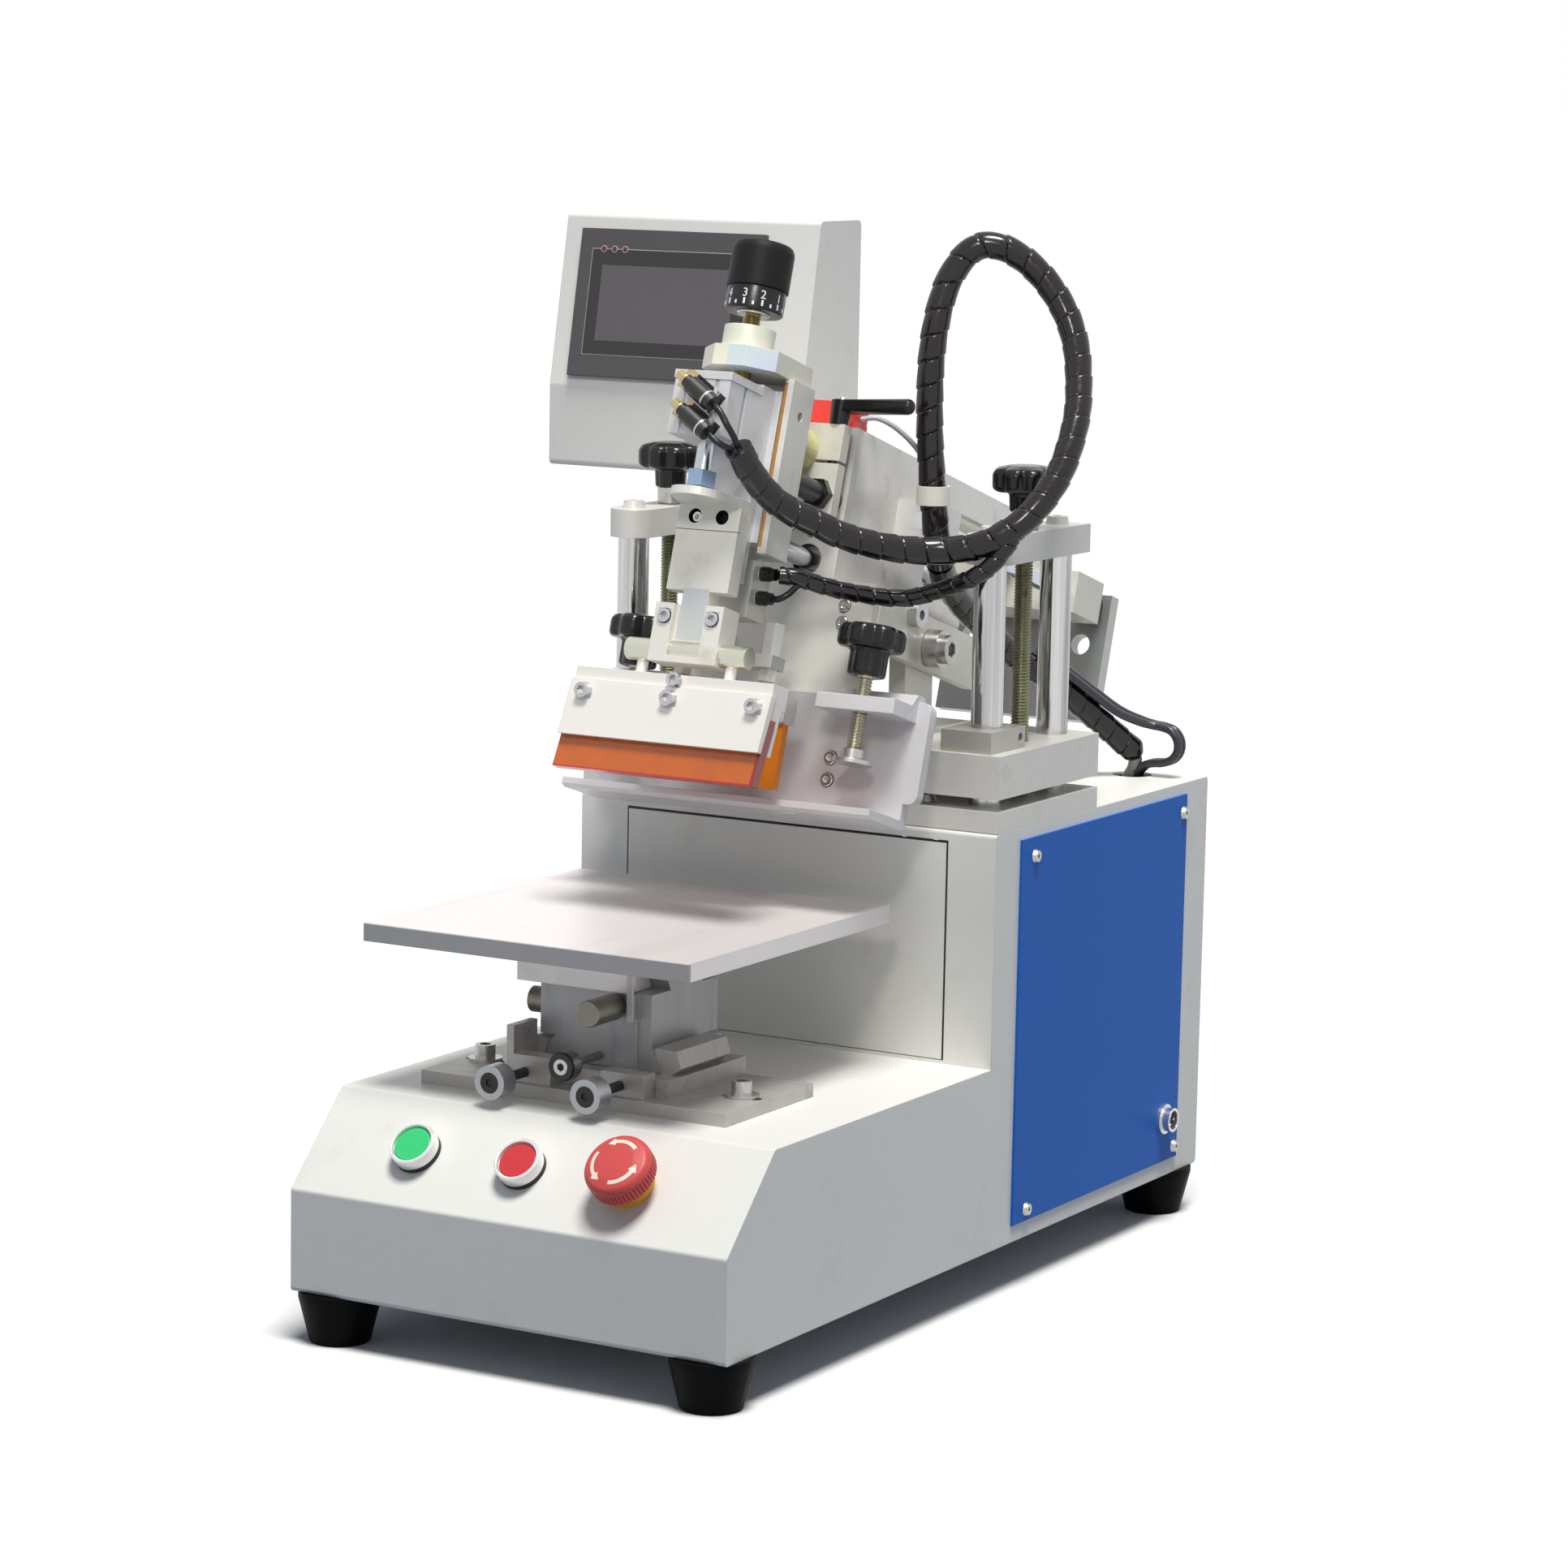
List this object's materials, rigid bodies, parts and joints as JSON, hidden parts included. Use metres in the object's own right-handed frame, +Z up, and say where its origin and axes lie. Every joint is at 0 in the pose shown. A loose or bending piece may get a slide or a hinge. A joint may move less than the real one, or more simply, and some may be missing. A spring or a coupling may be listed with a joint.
{
  "type": "screen printing machine",
  "caption": "Bench-top pneumatic screen printer: sheet cabinet with controls and work table, columns that lift a tilting arm with screen holder and a sliding squeegee head.",
  "frame": {"origin": "centre of the work table's top face", "axes": "+Z up, +X to the operator's right, +Y from the operator to the rear"},
  "size_m": [0.4385, 0.6663, 0.656],
  "materials": {
    "painted_sheet": "satin powder coat, warm light grey",
    "blue_panel": "satin blue powder coat",
    "rubber": "matt black",
    "steel_screws": "bright zinc",
    "nickel": "nickel plated",
    "green_plastic": "glossy translucent green",
    "red_plastic": "glossy red",
    "yellow_plastic": "glossy yellow",
    "zinc_case": "plain zinc sheet",
    "light_alloy": "fine milled, clear anodised",
    "warm_alloy": "milled and worn",
    "table_top": "ground flat, pale",
    "black_steel": "black oxide",
    "hard_chrome": "polished",
    "oiled_thread": "dark oiled thread",
    "black_plastic": "black phenolic",
    "cast_alloy": "cream clear coat",
    "sensor_red": "red",
    "orange_blade": "orange polyurethane",
    "panel_black": "matt charcoal",
    "white_nylon": "natural nylon",
    "hose_wrap": "glossy black spiral wrap"
  },
  "bodies": {
    "cabinet": {"cabinet_shell": "painted_sheet", "front_access_panel": "painted_sheet", "right_side_panel": "blue_panel", "rubber_feet": "rubber", "machine_screws": "steel_screws", "power_socket": "nickel", "button_bezels": "nickel", "estop_collar": "yellow_plastic", "power_and_valve_units": "zinc_case", "table_base_plate": "warm_alloy", "stage_bed": "warm_alloy", "adjuster_brackets": "warm_alloy", "lower_mount_plate": "cast_alloy", "guide_posts": "hard_chrome", "top_brackets": "cast_alloy", "console_box": "painted_sheet", "touch_panel": "panel_black"},
    "start_button": {"start_button_cap": "green_plastic"},
    "stop_button": {"stop_button_cap": "red_plastic"},
    "emergency_stop": {"estop_head": "red_plastic"},
    "left_thumb_screw": {"thumb_screw_left": "steel_screws"},
    "right_thumb_screw": {"thumb_screw_right": "steel_screws"},
    "stage": {"stage_carriage": "light_alloy"},
    "stage_lock": {"stage_lock_knob": "warm_alloy"},
    "depth_feed": {"depth_feed_screw": "black_steel"},
    "side_feed": {"side_feed_knob": "warm_alloy"},
    "table": {"work_table": "table_top"},
    "lift": {"lift_plate": "cast_alloy", "post_clamp": "light_alloy", "pivot_supports": "cast_alloy", "pivot_bolts": "steel_screws", "rear_hoses": "hose_wrap"},
    "left_lift_screw": {"lift_screw_left": "oiled_thread", "star_knob_left": "black_plastic"},
    "right_lift_screw": {"lift_screw_right": "oiled_thread", "star_knob_right": "black_plastic"},
    "arm": {"arm_front_plate": "cast_alloy", "arm_levers": "cast_alloy", "arm_side_frames": "light_alloy", "screen_holder": "cast_alloy", "guide_rods": "hard_chrome", "stroke_cylinder": "light_alloy", "ram_clamp_bracket": "cast_alloy", "proximity_sensor": "sensor_red", "hose_clip": "white_nylon", "cable_bundle": "hose_wrap"},
    "left_clamp_screw": {"clamp_screw_left": "black_plastic"},
    "left_clamp_pad": {"clamp_pad_left": "steel_screws"},
    "right_clamp_screw": {"clamp_screw_right": "black_plastic"},
    "right_clamp_pad": {"clamp_pad_right": "steel_screws"},
    "ram_lever": {"clamp_lever": "black_plastic"},
    "carriage": {"ram_carriage": "cast_alloy", "head_channel": "light_alloy", "head_hoses": "hose_wrap"},
    "dial": {"height_dial": "black_plastic"},
    "head_block": {"squeegee_cylinder": "light_alloy"},
    "squeegee": {"squeegee_slide": "cast_alloy"},
    "holder": {"squeegee_holder": "cast_alloy", "squeegee_blade": "orange_blade"},
    "flood": {"flood_blade_unit": "light_alloy"}
  },
  "joints": [
    {"name": "start_button_press", "type": "slide", "parent": "cabinet", "child": "start_button", "axis": [0, 0.7151, -0.699], "range_m": [0, 0.0035], "stiffness_N_per_m": 600, "springref_m": -0.001},
    {"name": "stop_button_press", "type": "slide", "parent": "cabinet", "child": "stop_button", "axis": [0, 0.7151, -0.699], "range_m": [0, 0.0035], "stiffness_N_per_m": 600, "springref_m": -0.001},
    {"name": "emergency_stop_press", "type": "slide", "parent": "cabinet", "child": "emergency_stop", "axis": [0, 0.7151, -0.699], "range_m": [0, 0.0035]},
    {"name": "left_thumb_screw_turn", "type": "hinge", "parent": "cabinet", "child": "left_thumb_screw", "pos_m": [-0.0264, -0.1019, -0.0874], "axis": [0, 1, 0], "continuous": true},
    {"name": "right_thumb_screw_turn", "type": "hinge", "parent": "cabinet", "child": "right_thumb_screw", "pos_m": [0.0401, -0.1019, -0.0874], "axis": [0, 1, 0], "continuous": true},
    {"name": "stage_depth_slide", "type": "slide", "parent": "cabinet", "child": "stage", "axis": [0, 1, 0], "range_m": [-0.006, 0.006]},
    {"name": "stage_lock_turn", "type": "hinge", "parent": "stage", "child": "stage_lock", "pos_m": [0.0216, -0.0719, -0.0458], "axis": [0, 1, 0], "range_deg": [-90, 90]},
    {"name": "depth_feed_turn", "type": "hinge", "parent": "stage", "child": "depth_feed", "pos_m": [0.0096, -0.0869, -0.0772], "axis": [0, 1, 0], "continuous": true},
    {"name": "table_side_slide", "type": "slide", "parent": "stage", "child": "table", "axis": [1, 0, 0], "range_m": [-0.008, 0.008]},
    {"name": "side_feed_turn", "type": "hinge", "parent": "stage", "child": "side_feed", "pos_m": [-0.0454, -0.0239, -0.0542], "axis": [1, 0, 0], "continuous": true},
    {"name": "lift_height", "type": "slide", "parent": "cabinet", "child": "lift", "axis": [0, 0, 1], "range_m": [-0.005, 0.06]},
    {"name": "left_lift_screw_turn", "type": "hinge", "parent": "cabinet", "child": "left_lift_screw", "pos_m": [-0.1154, 0.2266, 0.1818], "axis": [0, 0, 1], "continuous": true},
    {"name": "right_lift_screw_turn", "type": "hinge", "parent": "cabinet", "child": "right_lift_screw", "pos_m": [0.1426, 0.2266, 0.1818], "axis": [0, 0, 1], "continuous": true},
    {"name": "arm_tilt", "type": "hinge", "parent": "lift", "child": "arm", "pos_m": [0.0166, 0.2231, 0.1458], "axis": [1, 0, 0], "range_deg": [0, 17]},
    {"name": "left_clamp_travel", "type": "slide", "parent": "arm", "child": "left_clamp_pad", "axis": [0, 0.2924, 0.9563], "range_m": [-0.005, 0.028]},
    {"name": "left_clamp_screw_turn", "type": "hinge", "parent": "left_clamp_pad", "child": "left_clamp_screw", "pos_m": [-0.0644, 0.1056, 0.13258], "axis": [0, 0.2924, 0.9563], "continuous": true},
    {"name": "right_clamp_travel", "type": "slide", "parent": "arm", "child": "right_clamp_pad", "axis": [0, 0.2924, 0.9563], "range_m": [-0.012, 0.014]},
    {"name": "right_clamp_screw_turn", "type": "hinge", "parent": "right_clamp_pad", "child": "right_clamp_screw", "pos_m": [0.0976, 0.10765, 0.13927], "axis": [0, 0.2924, 0.9563], "continuous": true},
    {"name": "ram_lever_turn", "type": "hinge", "parent": "arm", "child": "ram_lever", "pos_m": [0.0406, 0.17119, 0.29238], "axis": [0, 0.2924, 0.9563], "range_deg": [-40, 40]},
    {"name": "print_stroke", "type": "slide", "parent": "arm", "child": "carriage", "axis": [0, -0.9563, 0.2924], "range_m": [0, 0.14]},
    {"name": "height_dial_turn", "type": "hinge", "parent": "carriage", "child": "dial", "pos_m": [0.0166, 0.11034, 0.37895], "axis": [0, 0.2924, 0.9563], "continuous": true},
    {"name": "head_height", "type": "slide", "parent": "carriage", "child": "head_block", "axis": [0, 0.2924, 0.9563], "range_m": [-0.006, 0.006]},
    {"name": "squeegee_lift", "type": "slide", "parent": "head_block", "child": "squeegee", "axis": [0, 0.2924, 0.9563], "range_m": [0, 0.016]},
    {"name": "squeegee_angle", "type": "hinge", "parent": "squeegee", "child": "holder", "pos_m": [0.0166, 0.03479, 0.15579], "axis": [1, 0, 0], "range_deg": [-8, 8]},
    {"name": "flood_blade_lift", "type": "slide", "parent": "carriage", "child": "flood", "axis": [0, 0.2924, 0.9563], "range_m": [0, 0.01]}
  ],
  "couplings": [
    {"joint": "depth_feed_turn", "follows": "stage_depth_slide", "rad_per_m": 12566},
    {"joint": "side_feed_turn", "follows": "table_side_slide", "rad_per_m": 12566},
    {"joint": "left_lift_screw_turn", "follows": "lift_height", "rad_per_m": 3590.4},
    {"joint": "right_lift_screw_turn", "follows": "lift_height", "rad_per_m": 3590.4},
    {"joint": "left_clamp_screw_turn", "follows": "left_clamp_travel", "rad_per_m": 4188.8},
    {"joint": "right_clamp_screw_turn", "follows": "right_clamp_travel", "rad_per_m": 4188.8},
    {"joint": "height_dial_turn", "follows": "head_height", "rad_per_m": 6283.2}
  ]
}
